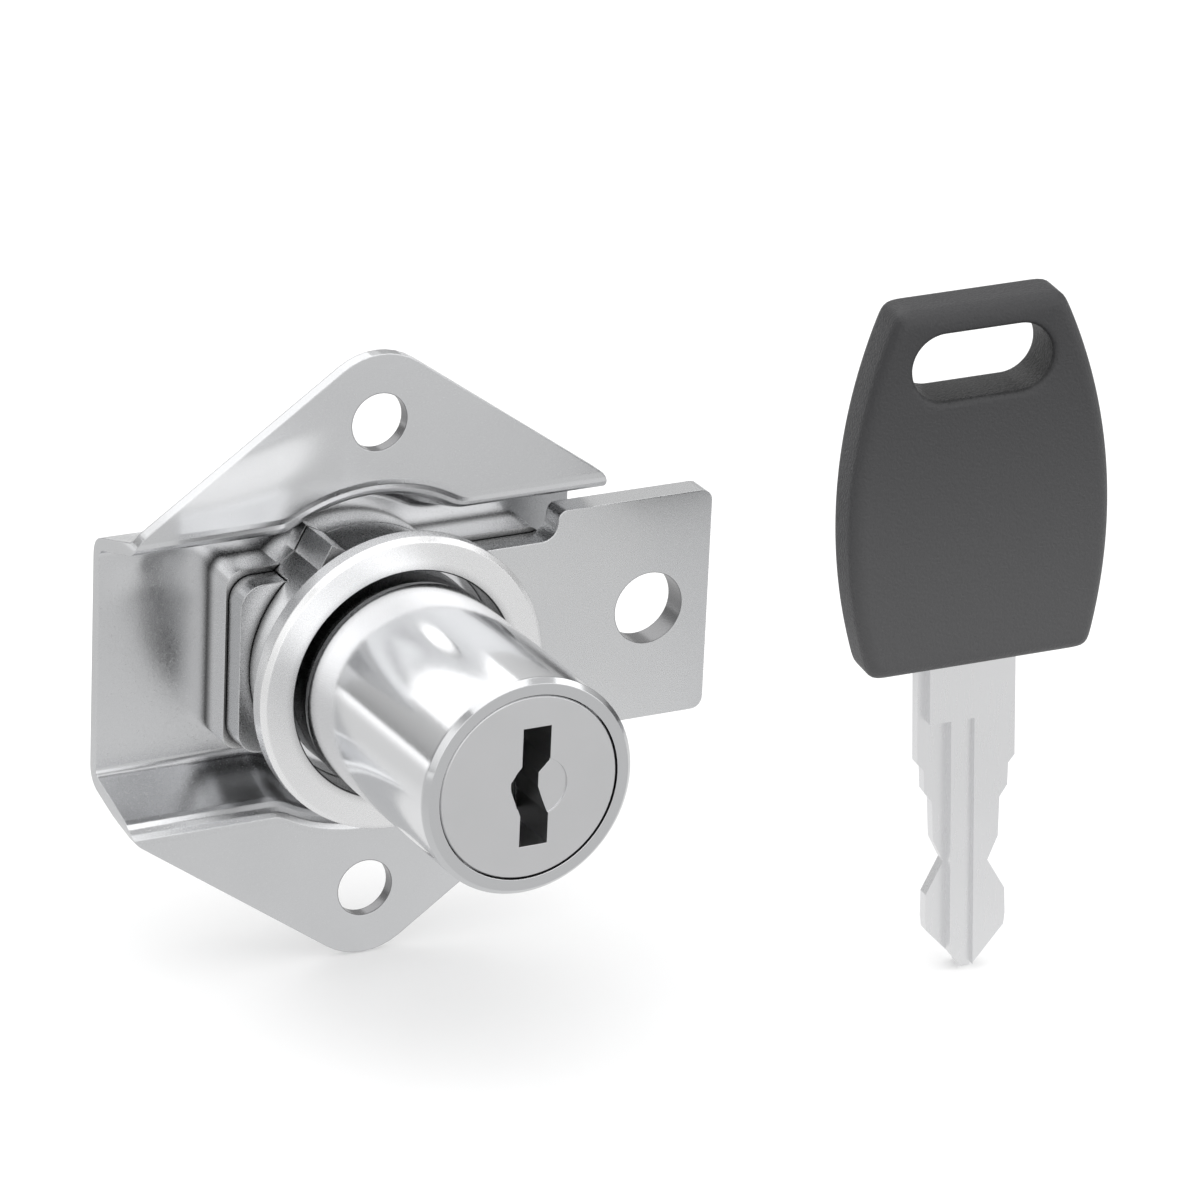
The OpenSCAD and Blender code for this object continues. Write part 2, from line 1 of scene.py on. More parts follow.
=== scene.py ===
"""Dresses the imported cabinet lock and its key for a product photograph.

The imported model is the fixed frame. The classes below give every CAD node a
procedural finish, put finer meshes in the place of the key's moulded head and
of the wafer springs, and set up the floor, the light and the camera of the
reference photograph. Lengths are in metres unless a name ends in _mm or a
class says that its sizes are in millimetres.
"""

import json
import logging
import math
from dataclasses import dataclass
from enum import Enum
from typing import ClassVar, Mapping, Optional, Sequence, Union

import bmesh
import bpy
import numpy as np
from mathutils import Matrix, Vector
from mathutils.geometry import tessellate_polygon

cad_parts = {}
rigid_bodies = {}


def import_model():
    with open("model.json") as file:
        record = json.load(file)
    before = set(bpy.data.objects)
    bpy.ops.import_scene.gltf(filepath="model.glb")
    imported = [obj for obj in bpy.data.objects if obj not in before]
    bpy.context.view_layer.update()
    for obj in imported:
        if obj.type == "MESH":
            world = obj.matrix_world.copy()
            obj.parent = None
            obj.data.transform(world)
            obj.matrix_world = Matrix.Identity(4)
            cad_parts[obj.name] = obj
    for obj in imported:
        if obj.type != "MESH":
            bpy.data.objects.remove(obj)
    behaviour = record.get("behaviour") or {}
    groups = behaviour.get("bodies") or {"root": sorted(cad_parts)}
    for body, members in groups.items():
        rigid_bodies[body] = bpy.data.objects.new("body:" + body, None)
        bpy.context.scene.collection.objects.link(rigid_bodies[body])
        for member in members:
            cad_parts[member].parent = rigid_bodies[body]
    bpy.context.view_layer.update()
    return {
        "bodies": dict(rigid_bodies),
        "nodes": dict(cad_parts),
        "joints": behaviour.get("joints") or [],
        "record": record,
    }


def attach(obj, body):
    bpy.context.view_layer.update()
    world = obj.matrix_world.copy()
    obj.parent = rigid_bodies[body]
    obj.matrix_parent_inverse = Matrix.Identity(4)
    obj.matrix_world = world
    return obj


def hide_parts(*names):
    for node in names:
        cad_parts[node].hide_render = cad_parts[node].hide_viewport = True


LOG = logging.getLogger("cabinet_lock")
MM = 0.001
WHITE = (1.0, 1.0, 1.0, 1.0)

Color = tuple[float, float, float]
Bands = tuple[tuple[float, float], ...]
Socket = bpy.types.NodeSocket
Value = Union[Socket, float, Sequence[float]]


class Slot(str, Enum):
    """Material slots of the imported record."""

    PLATE = "plate_nickel"
    CAST = "cast_nickel"
    BARREL = "barrel_chrome"
    PLUG = "plug_nickel"
    BOLT = "bolt_nickel"
    WAFER = "wafer_brass"
    SPRING = "spring_steel"
    SMALL = "small_steel"
    KEY_METAL = "key_nickel"
    KEY_PLASTIC = "key_plastic"


class Body(str, Enum):
    """Rigid bodies that a finer piece can move with."""

    PLUG = "plug"
    KEY = "key"


class Axis(str, Enum):
    """Directions along which a colour can fade."""

    X = "X"
    Y = "Y"
    Z = "Z"


@dataclass(frozen=True)
class Ridge:
    """The low ridge that stamping leaves along a trough's mouth, seen only in its shading.

    The distance d to the mouth is the smaller one of the distances to a straight
    channel and to a round arch. Up to its crest the ridge has its full rise; further
    off its height is (1 - ((d - crest) / reach)^2)^2 of that, and 0 past its reach.
    It shows on one quarter of the sheet and fades out towards the rest.

    Attributes:
        channel_mm: Half the height of the channel's mouth.
        arch_mm: Radius of the arch's mouth.
        crest_mm: How far from the mouth the ridge is highest.
        reach_mm: How far past its crest the ridge ends.
        rise_mm: Its full height.
        blend_mm: Width over which channel and arch run into each other.
        right_mm: Places in X, from its end to full height, at the ridge's right end.
        left_mm: The same at its left end.
        low_mm: The same in Z at its lower side.
    """

    channel_mm: float
    arch_mm: float
    crest_mm: float
    reach_mm: float
    rise_mm: float
    blend_mm: float = 5.0
    right_mm: tuple[float, float] = (-2.5, -8.0)
    left_mm: tuple[float, float] = (-20.0, -15.0)
    low_mm: tuple[float, float] = (4.0, 8.0)


@dataclass(frozen=True)
class Bore:
    """A punched hole along Y, whose wall is darker than the faces round it: partly its duller punched metal,
    partly painted shade inside the hole.

    Attributes:
        x_mm: Its middle, to the right.
        z_mm: Its middle, upwards.
        r_mm: Its radius.
    """

    SLACK_MM: ClassVar[float] = 0.04
    # Painted shade: this grey stands partly for the duller punched metal and partly for the shade inside the hole.
    PUNCHED_AND_SHADED_WALL: ClassVar[Color] = (0.24, 0.24, 0.245)

    x_mm: float
    z_mm: float
    r_mm: float


@dataclass(frozen=True)
class Finish:
    """How a surface looks, as numbers for one Principled shader.

    Attributes:
        color: Linear base colour.
        shade: Linear colour that the large soft variation or the fade leans to.
        roughness: Lowest and highest roughness of the fine variation.
        grain_mm: Size of the fine grain.
        grain_depth: Strength of the fine grain's bump.
        wave_mm: Size of the large unevenness of the sheet or casting.
        wave_depth: Strength of that unevenness.
        edge_mm: Radius by which edges are softened in the shading.
        metallic: 0 for plastic, 1 for metal.
        specular: Strength of a plastic's sheen.
        brushed: Stretch of the grain along X, Y and Z.
        ridge: The ridge that stamping left in the sheet, if any.
        fade_axis: The axis along which the colour fades to the shade.
        fade_mm: Places on that axis between which it fades, if it does.
        painted_shade_mm: How near another wall has to be for shade to be painted into the colour, 0 for never.
        painted_shade_grey: Linear grey of the shade painted into the deepest hollows.
        bores: Punched holes whose walls are darker, for their duller punched metal and for painted shade.
    """

    color: Color
    shade: Color
    roughness: tuple[float, float]
    grain_mm: float
    grain_depth: float
    wave_mm: float
    wave_depth: float = 0.0
    edge_mm: float = 0.0
    metallic: float = 1.0
    specular: float = 0.5
    brushed: tuple[float, float, float] = (1.0, 1.0, 1.0)
    ridge: Optional[Ridge] = None
    fade_axis: Axis = Axis.Z
    fade_mm: Optional[tuple[float, float]] = None
    painted_shade_mm: float = 0.0
    painted_shade_grey: float = 0.004
    bores: tuple[Bore, ...] = ()


FINISHES: dict[Slot, Finish] = {
    Slot.PLATE: Finish(
        color=(0.61, 0.615, 0.625), shade=(0.65, 0.655, 0.665), roughness=(0.20, 0.28),
        grain_mm=0.12, grain_depth=0.12, wave_mm=7.0, wave_depth=0.03, edge_mm=0.14,
        ridge=Ridge(channel_mm=10.45, arch_mm=12.4, crest_mm=2.2, reach_mm=4.2, rise_mm=0.58),
        bores=(Bore(x_mm=0.0, z_mm=18.0, r_mm=2.15), Bore(x_mm=0.0, z_mm=-18.0, r_mm=2.15)),
    ),
    Slot.CAST: Finish(
        color=(0.83, 0.83, 0.835), shade=(0.87, 0.87, 0.875), roughness=(0.24, 0.32),
        grain_mm=0.10, grain_depth=0.05, wave_mm=5.0, wave_depth=0.02, edge_mm=0.12,
        # Painted shade: thin dark lines are painted into the castings' tight corners and gaps.
        painted_shade_mm=1.4, painted_shade_grey=0.08,
    ),
    Slot.BARREL: Finish(
        color=(0.78, 0.785, 0.795), shade=(0.60, 0.605, 0.615), roughness=(0.10, 0.15),
        grain_mm=0.15, grain_depth=0.02, wave_mm=4.0, wave_depth=0.01, edge_mm=0.08,
        fade_axis=Axis.Y, fade_mm=(-24.05, -24.30),
    ),
    Slot.PLUG: Finish(
        color=(0.61, 0.615, 0.62), shade=(0.65, 0.65, 0.66), roughness=(0.28, 0.36),
        grain_mm=0.10, grain_depth=0.12, wave_mm=4.0, wave_depth=0.01, edge_mm=0.06,
    ),
    Slot.BOLT: Finish(
        color=(0.65, 0.655, 0.665), shade=(0.69, 0.695, 0.70), roughness=(0.24, 0.32),
        grain_mm=0.10, grain_depth=0.08, wave_mm=6.0, wave_depth=0.02, edge_mm=0.12,
        bores=(Bore(x_mm=22.9, z_mm=0.0, r_mm=2.75),),
    ),
    Slot.WAFER: Finish(
        # Painted shade: the brass wafers get a dark grey, which stands in for the shade inside the keyway.
        color=(0.10, 0.10, 0.10), shade=(0.13, 0.13, 0.13), roughness=(0.34, 0.46),
        grain_mm=0.20, grain_depth=0.05, wave_mm=3.0, edge_mm=0.04,
    ),
    Slot.SPRING: Finish(
        color=(0.50, 0.50, 0.52), shade=(0.56, 0.56, 0.58), roughness=(0.22, 0.34),
        grain_mm=0.10, grain_depth=0.03, wave_mm=2.0,
    ),
    Slot.SMALL: Finish(
        color=(0.56, 0.57, 0.58), shade=(0.62, 0.62, 0.63), roughness=(0.24, 0.36),
        grain_mm=0.12, grain_depth=0.05, wave_mm=2.0, edge_mm=0.05,
    ),
    Slot.KEY_METAL: Finish(
        color=(0.79, 0.795, 0.80), shade=(0.83, 0.83, 0.84), roughness=(0.27, 0.29),
        grain_mm=0.14, grain_depth=0.0, wave_mm=5.0, brushed=(1.0, 1.0, 0.05),
    ),
    Slot.KEY_PLASTIC: Finish(
        color=(0.060, 0.060, 0.062), shade=(0.026, 0.026, 0.028), roughness=(0.42, 0.54),
        grain_mm=0.20, grain_depth=1.6, wave_mm=9.0, metallic=0.0,
        # Painted light and shade: the head turns paler towards its foot, where the floor's bounce light falls, and
        # shade is painted onto the ring slot's walls.
        fade_mm=(2.0, 28.0), painted_shade_mm=6.0,
    ),
}


class NodeBench:
    """A node tree, with short ways to add the kinds of nodes that this scene needs."""

    def __init__(self, tree: bpy.types.NodeTree) -> None:
        """Takes over a tree and empties it."""
        self.tree = tree
        self.tree.nodes.clear()

    def add(
        self, kind: str, inputs: Optional[Mapping[Union[str, int], Value]] = None, **options: object
    ) -> bpy.types.Node:
        """Adds a node.

        Args:
            kind: Its type, without the words that every shader node's type starts with.
            inputs: Sockets or plain values that go into it, by the input's name or number.
            **options: The node's own settings, which can change what inputs it has.

        Returns:
            The node.
        """
        node = self.tree.nodes.new("ShaderNode" + kind)
        for name, choice in options.items():
            setattr(node, name, choice)
        for name, value in (inputs or {}).items():
            if isinstance(value, Socket):
                self.tree.links.new(value, node.inputs[name])
            else:
                node.inputs[name].default_value = value
        return node

    def calc(self, operation: str, *values: Union[Socket, float]) -> Socket:
        """Works out one operation on sockets or numbers."""
        return self.add("Math", dict(enumerate(values)), operation=operation).outputs["Value"]

    def axis(self, vector: Socket, axis: Axis) -> Socket:
        """Takes one coordinate out of a vector."""
        return self.add("SeparateXYZ", {"Vector": vector}).outputs[axis.value]

    def length(self, vector: Socket) -> Socket:
        """Takes a vector's length."""
        return self.add("VectorMath", {0: vector}, operation="LENGTH").outputs["Value"]

    def step(
        self, value: Socket, span: tuple[float, float], result: tuple[float, float] = (0.0, 1.0), soft: bool = True
    ) -> Socket:
        """Adds a step from one result to another over a span of a value.

        With t the share of the span that is passed, from 0 to 1, a straight step goes
        with t and a soft one with 3 t^2 - 2 t^3.

        Args:
            value: The value that the step follows.
            span: Where the step starts and stops; the stop may be the lower one.
            result: What it gives before its start and past its stop.
            soft: Whether it starts and stops gently.

        Returns:
            The stepped value.
        """
        if span[0] > span[1]:
            span, result = span[::-1], result[::-1]
        inputs = {
            "Value": value,
            "From Min": span[0],
            "From Max": span[1],
            "To Min": result[0],
            "To Max": result[1],
        }
        kind = "SMOOTHSTEP" if soft else "LINEAR"
        return self.add("MapRange", inputs, interpolation_type=kind).outputs["Result"]

    def mix(self, share: Socket, first: Value, second: Value) -> Socket:
        """Goes from a first colour to a second one as a share goes from 0 to 1."""
        inputs = {"Factor": share, "A": first, "B": second}
        return self.add("Mix", inputs, data_type="RGBA").outputs["Result"]

    def blend(self, share: Value, first: Socket, second: Socket) -> Socket:
        """Goes from a first shader to a second one as a share goes from 0 to 1."""
        return self.add("MixShader", {0: share, 1: first, 2: second}).outputs["Shader"]

    def noise(self, vector: Socket, size_mm: float, detail: float) -> Socket:
        """Adds a noise between 0 and 1 whose cells are size_mm across."""
        inputs = {"Vector": vector, "Scale": 1.0 / (size_mm * MM), "Detail": detail}
        return self.add("TexNoise", inputs).outputs["Fac"]

    def bump(self, height: Socket, strength: float, distance: float, normal: Optional[Socket]) -> Socket:
        """Tilts a normal as a height rises and falls.

        Args:
            height: The height, between 0 and 1.
            strength: How much of the tilt is used.
            distance: How high a height of 1 is.
            normal: The normal to start from, or None for the mesh's own.

        Returns:
            The tilted normal.
        """
        inputs = {"Height": height, "Strength": strength, "Distance": distance}
        if normal is not None:
            inputs["Normal"] = normal
        return self.add("Bump", inputs).outputs["Normal"]

    def ramp(self, value: Socket, bands: Bands) -> Socket:
        """Adds greys that go evenly from one band to the next.

        Args:
            value: The value that the greys follow, between 0 and 1.
            bands: Pairs of a value and the grey there, in rising order.

        Returns:
            The grey as a colour.
        """
        ramp = self.add("ValToRGB", {"Fac": value})
        stops = ramp.color_ramp.elements
        stops[0].position, stops[1].position = bands[0][0], bands[-1][0]
        for stop, (_, grey) in zip((stops[0], stops[1]), (bands[0], bands[-1])):
            stop.color = opaque(grey, grey, grey)
        for position, grey in bands[1:-1]:
            stops.new(position).color = opaque(grey, grey, grey)
        return ramp.outputs["Color"]


def opaque(red: float, green: float, blue: float) -> tuple[float, float, float, float]:
    """Adds full opacity to a colour."""
    return red, green, blue, 1.0


class MaterialShop:
    """Builds one procedural material per finish and hands it out by slot.

    Every pattern reads Object coordinates, which are the frame's own because each
    piece's origin is the frame's.
    """

    GRAIN_DETAIL = 3.0  # how many finer noises the fine grain holds
    DRIFT_DETAIL = 2.0  # the same for the large unevenness
    NOISE_SPAN = (0.3, 0.7)  # the part of a noise's values that most places have
    BUMP_SHARE = 0.25  # height of a bump as a share of its size
    EDGE_SAMPLES = 6
    PAINTED_SHADE_SAMPLES = 8
    PAINTED_SHADE_SPAN = (0.55, 1.0)  # share of open sky where the painted shade is darkest and where it ends

    def __init__(self, finishes: Mapping[Slot, Finish]) -> None:
        """Keeps the finishes until they are asked for."""
        self._finishes = finishes
        self._made: dict[Slot, bpy.types.Material] = {}

    def get(self, slot: Slot) -> bpy.types.Material:
        """Returns the slot's material, building it on first use.

        Args:
            slot: The record's material slot.

        Returns:
            The finished material.
        """
        if slot not in self._made:
            self._made[slot] = self._build(slot, self._finishes[slot])
        return self._made[slot]

    def _build(self, slot: Slot, finish: Finish) -> bpy.types.Material:
        """Builds a finish's colour, roughness grain, bumps and soft edges.

        Args:
            slot: The slot that names the material.
            finish: Its numbers.

        Returns:
            The material.
        """
        material = bpy.data.materials.new(slot.value)
        material.use_nodes = True
        bench = NodeBench(material.node_tree)
        place = bench.add("TexCoord").outputs["Object"]
        stretched = bench.add("Mapping", {"Vector": place, "Scale": finish.brushed}).outputs["Vector"]
        grain = bench.noise(stretched, finish.grain_mm, self.GRAIN_DETAIL)
        drift = bench.noise(place, finish.wave_mm, self.DRIFT_DETAIL)
        inputs = {
            "Base Color": self._color(bench, place, drift, finish),
            "Metallic": finish.metallic,
            "Roughness": bench.step(grain, self.NOISE_SPAN, finish.roughness, soft=False),
            "Specular IOR Level": finish.specular,
        }
        normal = self._normal(bench, place, grain, drift, finish)
        if normal is not None:
            inputs["Normal"] = normal
        shader = bench.add("BsdfPrincipled", inputs)
        bench.add("OutputMaterial", {"Surface": shader.outputs["BSDF"]})
        return material

    def _color(self, bench: NodeBench, place: Socket, drift: Socket, finish: Finish) -> Socket:
        """Goes from colour to shade by the drift or the fade, darkens bore walls and paints shade into hollows.

        Args:
            bench: The material's nodes.
            place: Object coordinates.
            drift: The large soft noise.
            finish: The finish's numbers.

        Returns:
            The base colour.
        """
        share = drift
        if finish.fade_mm is not None:
            start, stop = finish.fade_mm
            share = bench.step(bench.axis(place, finish.fade_axis), (start * MM, stop * MM))
        color = bench.mix(share, opaque(*finish.color), opaque(*finish.shade))
        for bore in finish.bores:
            color = self._shade_bore_wall(bench, place, bore, color)
        # Painted shade: where ambient occlusion finds other walls near, the colour goes to a dark grey.
        if finish.painted_shade_mm > 0:
            inputs = {"Distance": finish.painted_shade_mm * MM}
            open_share = bench.add("AmbientOcclusion", inputs, samples=self.PAINTED_SHADE_SAMPLES).outputs["AO"]
            grey = finish.painted_shade_grey
            color = bench.mix(bench.step(open_share, self.PAINTED_SHADE_SPAN), opaque(grey, grey, grey), color)
        return color

    @staticmethod
    def _shade_bore_wall(bench: NodeBench, place: Socket, bore: Bore, color: Socket) -> Socket:
        """Darkens a bore's wall, for its duller punched metal and for painted shade inside the hole.

        The wall is all that lies within the bore's radius of its middle line, where the
        distance is the root of (x - bore x)^2 + (z - bore z)^2. Nothing else is there.

        Args:
            bench: The material's nodes.
            place: Object coordinates.
            bore: The bore.
            color: The colour outside it.

        Returns:
            The colour with the wall darkened.
        """
        inputs = {0: place, 1: (1.0, 0.0, 1.0), 2: (-bore.x_mm * MM, 0.0, -bore.z_mm * MM)}
        across = bench.add("VectorMath", inputs, operation="MULTIPLY_ADD").outputs["Vector"]
        inside = bench.calc("LESS_THAN", bench.length(across), (bore.r_mm + bore.SLACK_MM) * MM)
        return bench.mix(inside, color, opaque(*bore.PUNCHED_AND_SHADED_WALL))

    def _normal(
        self, bench: NodeBench, place: Socket, grain: Socket, drift: Socket, finish: Finish
    ) -> Optional[Socket]:
        """Softens the edges, then adds the ridge, the large unevenness and the fine grain.

        Args:
            bench: The material's nodes.
            place: Object coordinates.
            grain: The fine noise.
            drift: The large soft noise.
            finish: The finish's numbers.

        Returns:
            The normal, or None for the mesh's own.
        """
        normal: Optional[Socket] = None
        if finish.edge_mm > 0:
            inputs = {"Radius": finish.edge_mm * MM}
            normal = bench.add("Bevel", inputs, samples=self.EDGE_SAMPLES).outputs["Normal"]
        if finish.ridge is not None:
            height = self._ridge_height(bench, place, finish.ridge)
            normal = bench.bump(height, 1.0, finish.ridge.rise_mm * MM, normal)
        if finish.wave_depth > 0:
            normal = bench.bump(drift, finish.wave_depth, finish.wave_mm * MM * self.BUMP_SHARE, normal)
        if finish.grain_depth > 0:
            normal = bench.bump(grain, finish.grain_depth, finish.grain_mm * MM * self.BUMP_SHARE, normal)
        return normal

    @staticmethod
    def _ridge_height(bench: NodeBench, place: Socket, ridge: Ridge) -> Socket:
        """Works out a ridge's height by the formula in its class.

        The distance to the channel's mouth is z less half the channel's height. The one
        to the arch's mouth is the root of x^2 + z^2, less the arch's radius.

        Args:
            bench: The material's nodes.
            place: Object coordinates.
            ridge: The ridge.

        Returns:
            The height as a share of the ridge's rise.
        """
        x, z = bench.axis(place, Axis.X), bench.axis(place, Axis.Z)
        channel = bench.calc("SUBTRACT", z, ridge.channel_mm * MM)
        squares = bench.calc("ADD", bench.calc("MULTIPLY", x, x), bench.calc("MULTIPLY", z, z))
        arch = bench.calc("SUBTRACT", bench.calc("SQRT", squares), ridge.arch_mm * MM)
        near = bench.calc("SMOOTH_MIN", channel, arch, ridge.blend_mm * MM)
        past = bench.calc("MAXIMUM", bench.calc("SUBTRACT", near, ridge.crest_mm * MM), 0.0)
        share = bench.calc("DIVIDE", past, ridge.reach_mm * MM)
        left_over = bench.calc("SUBTRACT", 1.0, bench.calc("MULTIPLY", share, share))
        height = bench.calc("POWER", bench.calc("MAXIMUM", left_over, 0.0), 2.0)
        for value, (start, stop) in ((x, ridge.right_mm), (x, ridge.left_mm), (z, ridge.low_mm)):
            height = bench.calc("MULTIPLY", height, bench.step(value, (start * MM, stop * MM)))
        return height


def mesh_object(
    name: str, points: np.ndarray, faces: Sequence[Sequence[int]], sharp_deg: Optional[float] = None
) -> bpy.types.Object:
    """Makes a smooth shaded mesh object at the origin.

    Args:
        name: The object's name.
        points: Vertex places in the frame, one row each.
        faces: Vertex indices of each face.
        sharp_deg: Edges that turn by more than this stay sharp, and the mesh is taken
            as closed and gets its faces turned outwards. None leaves both alone.

    Returns:
        The linked object.
    """
    mesh = bpy.data.meshes.new(name)
    mesh.from_pydata(points.tolist(), [], faces)
    mesh.validate()
    if sharp_deg is not None:
        work = bmesh.new()
        work.from_mesh(mesh)
        bmesh.ops.recalc_face_normals(work, faces=work.faces)
        work.to_mesh(mesh)
        work.free()
    mesh.polygons.foreach_set("use_smooth", np.ones(len(mesh.polygons), dtype=bool))
    if sharp_deg is not None:
        mesh.set_sharp_from_angle(angle=math.radians(sharp_deg))
    mesh.update()
    made = bpy.data.objects.new(name, mesh)
    bpy.context.scene.collection.objects.link(made)
    return made


def ring_quads(rings: int, count: int, first: int = 0) -> np.ndarray:
    """Lists the quads of a tube, whose points are stored ring after ring.

    With a = ring * count + i and b = ring * count + the next i, which comes back to 0
    after the last one, the quad is a, b, b + count, a + count.

    Args:
        rings: How many rings there are.
        count: How many points each one has.
        first: Number of the tube's first point.

    Returns:
        Four point numbers per row.
    """
    ring = np.arange(rings - 1)[:, None] * count + first
    here = ring + np.arange(count)
    after = ring + (np.arange(count) + 1) % count
    return np.stack([here, after, after + count, here + count], axis=-1).reshape(-1, 4)


@dataclass
class FinerPiece:
    """A piece whose soft forms need a finer mesh than its CAD node has.

    Its sizes repeat the ones of the CAD source.
    """

    NAME: ClassVar[str]
    BODY: ClassVar[Body]
    SLOT: ClassVar[Slot]
    STANDS_FOR: ClassVar[str]
    SHARP_DEG: ClassVar[float]

    def mesh(self) -> tuple[np.ndarray, list[list[int]]]:
        """Returns the piece's points in metres in the frame, and its faces."""
        raise NotImplementedError

    def build(self) -> bpy.types.Object:
        """Makes the piece's object."""
        return mesh_object(self.NAME, *self.mesh(), self.SHARP_DEG)

    def dress(self, shop: MaterialShop) -> bpy.types.Object:
        """Builds the piece, gives it its finish and ties it to the frame.

        Args:
            shop: Where its material comes from.

        Returns:
            The finished piece.
        """
        piece = self.build()
        piece.data.materials.append(shop.get(self.SLOT))
        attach(piece, self.BODY.value)
        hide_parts(self.STANDS_FOR)
        return piece


@dataclass
class KeyHead(FinerPiece):
    """The moulded head of the key, with its soft pillow edges and the ring slot.

    Its sizes are in millimetres.

    Attributes:
        place: Where the key's tip stands.
        lean_deg: How far the key leans to the side.
        yaw_deg: How far it is turned about its length.
        blade_len: Length of the blade below the head.
        blade_set: How far the head sits to the side of the blade.
        low_w: Width at the head's foot.
        wide_w: Greatest width.
        wide_at: Height of the greatest width, as a share of the whole.
        top_w: Width at the top.
        height: Height of the head.
        thick: Its thickness.
        corner: Radius of its four corners.
        soft: Radius of its pillow edge.
        slot_w: Width of the ring slot.
        slot_h: Height of the ring slot.
        slot_web: Height of plastic above the slot.
        slot_rim: Radius of the slot's rounded rim.
        count: Points in each ring.
    """

    NAME = "moulded_key_head"
    BODY = Body.KEY
    SLOT = Slot.KEY_PLASTIC
    STANDS_FOR = "key_head"
    SHARP_DEG = 40.0
    SIDE_POINTS = 60  # points along one side's arc, or round one end of the slot
    FINE_POINTS = 1600  # points in an outline while its corners are rounded
    LEAST_CORNER = 0.5  # smallest radius of a corner
    ROUND_SHARE = 0.62  # share of a corner's radius that one averaging reaches over
    EDGE_RINGS = 9  # rings in the pillow edge; the slot's rim has every other one
    OUTLINE_START = 0.6  # height at which outlines start, as a share of the whole
    SLOT_START = 2.4  # how far above its lower side the slot's outline starts

    place: tuple[float, float, float] = (39.7, -18.4, -23.1)
    lean_deg: float = 3.7
    yaw_deg: float = 8.0
    blade_len: float = 24.5
    blade_set: float = 0.5
    low_w: float = 16.8
    wide_w: float = 19.8
    wide_at: float = 0.42
    top_w: float = 12.4
    height: float = 27.7
    thick: float = 4.3
    corner: float = 1.6
    soft: float = 1.1
    slot_w: float = 10.6
    slot_h: float = 5.0
    slot_web: float = 1.9
    slot_rim: float = 0.5
    count: int = 260

    def matrix(self) -> Matrix:
        """Returns the transform from the head's own millimetres to the frame's metres."""
        scale = Matrix.Scale(MM, 4)
        move = Matrix.Translation(Vector(self.place))
        lean = Matrix.Rotation(math.radians(-self.lean_deg), 4, "Y")
        yaw = Matrix.Rotation(math.radians(-self.yaw_deg), 4, "Z")
        up = Matrix.Translation(Vector((self.blade_set, 0, self.blade_len)))
        return scale @ move @ lean @ yaw @ up

    def side(self, z: np.ndarray) -> np.ndarray:
        """Works out the head's half width at a height.

        The side is an arc through the points a at the foot, b at the widest place and c
        at the top. Its centre m is as far from all three, at a distance r, and the half
        width is m's x plus the root of r^2 - (z - m's z)^2.

        Args:
            z: Heights above the head's foot.

        Returns:
            The half width at each height.
        """
        a = np.array([self.low_w / 2, 0.0])
        b = np.array([self.wide_w / 2, self.height * self.wide_at])
        c = np.array([self.top_w / 2, self.height])
        middle = np.linalg.solve(2 * np.stack([b - a, c - a]), [b @ b - a @ a, c @ c - a @ a])
        radius = float(np.linalg.norm(a - middle))
        return middle[0] + np.sqrt(np.maximum(radius**2 - (z - middle[1]) ** 2, 0))

    def outline(self, inset: float) -> np.ndarray:
        """Works out the head's outline, drawn in by an inset.

        Its right side is the arc of side(z) less the inset, its left side the mirror
        image, and straight lines join them at foot and top. The corners are rounded by
        averaging over a stretch of the line, twice.

        Args:
            inset: How far the outline lies inside the head's widest one.

        Returns:
            Rows of (x, z), anticlockwise and evenly spaced.
        """
        z = np.linspace(inset, self.height - inset, self.SIDE_POINTS)
        right = np.stack([self.side(z) - inset, z], axis=1)
        loop = self._resample(np.concatenate([right, right[::-1] * [-1, 1]]), self.FINE_POINTS)
        for _ in range(2):
            loop = self._round(loop, max(self.corner - inset, self.LEAST_CORNER) * self.ROUND_SHARE)
        return self._start_right(self._resample(loop, self.count), self.height * self.OUTLINE_START)

    def ring_slot(self) -> np.ndarray:
        """Works out the ring slot's outline.

        Each end is a half circle: x is the straight part's half length plus r cos t, and
        z is the slot's middle plus r sin t, with t from -90 to 90 degrees. The left end
        is the same turned half round.

        Returns:
            Rows of (x, z), anticlockwise and evenly spaced.
        """
        r = self.slot_h / 2
        level = self.height - self.slot_web - r
        straight = self.slot_w / 2 - r
        t = np.linspace(-math.pi / 2, math.pi / 2, self.SIDE_POINTS)
        right = np.stack([straight + r * np.cos(t), level + r * np.sin(t)], axis=1)
        left = np.stack([-straight - r * np.cos(t), level - r * np.sin(t)], axis=1)
        loop = self._resample(np.concatenate([right, left]), self.count)
        return self._start_right(loop, level - r + self.SLOT_START)

    @staticmethod
    def _resample(loop: np.ndarray, count: int) -> np.ndarray:
        """Spaces a closed loop's points evenly, by interpolation over the length passed.

        Args:
            loop: Rows of (x, z).
            count: How many points it gets.

        Returns:
            Rows of (x, z), starting at the same point.
        """
        closed = np.vstack([loop, loop[:1]])
        passed = np.r_[0, np.cumsum(np.linalg.norm(np.diff(closed, axis=0), axis=1))]
        at = np.linspace(0, passed[-1], count, endpoint=False)
        return np.stack([np.interp(at, passed, closed[:, k]) for k in (0, 1)], axis=1)

    @staticmethod
    def _round(loop: np.ndarray, radius: float) -> np.ndarray:
        """Rounds a closed, evenly spaced loop by a weighted average over its neighbours.

        The weights follow one hump of a raised cosine and add up to 1.

        Args:
            loop: Rows of (x, z).
            radius: How far to each side the average reaches.

        Returns:
            Rows of (x, z), as many as before.
        """
        spacing = float(np.linalg.norm(loop[1] - loop[0]))
        reach = max(int(radius / spacing), 1)
        weights = np.hanning(2 * reach + 3)[1:-1]
        weights /= weights.sum()
        padded = np.vstack([loop[-reach:], loop, loop[:reach]])
        return np.stack([np.convolve(padded[:, k], weights, "valid") for k in (0, 1)], axis=1)

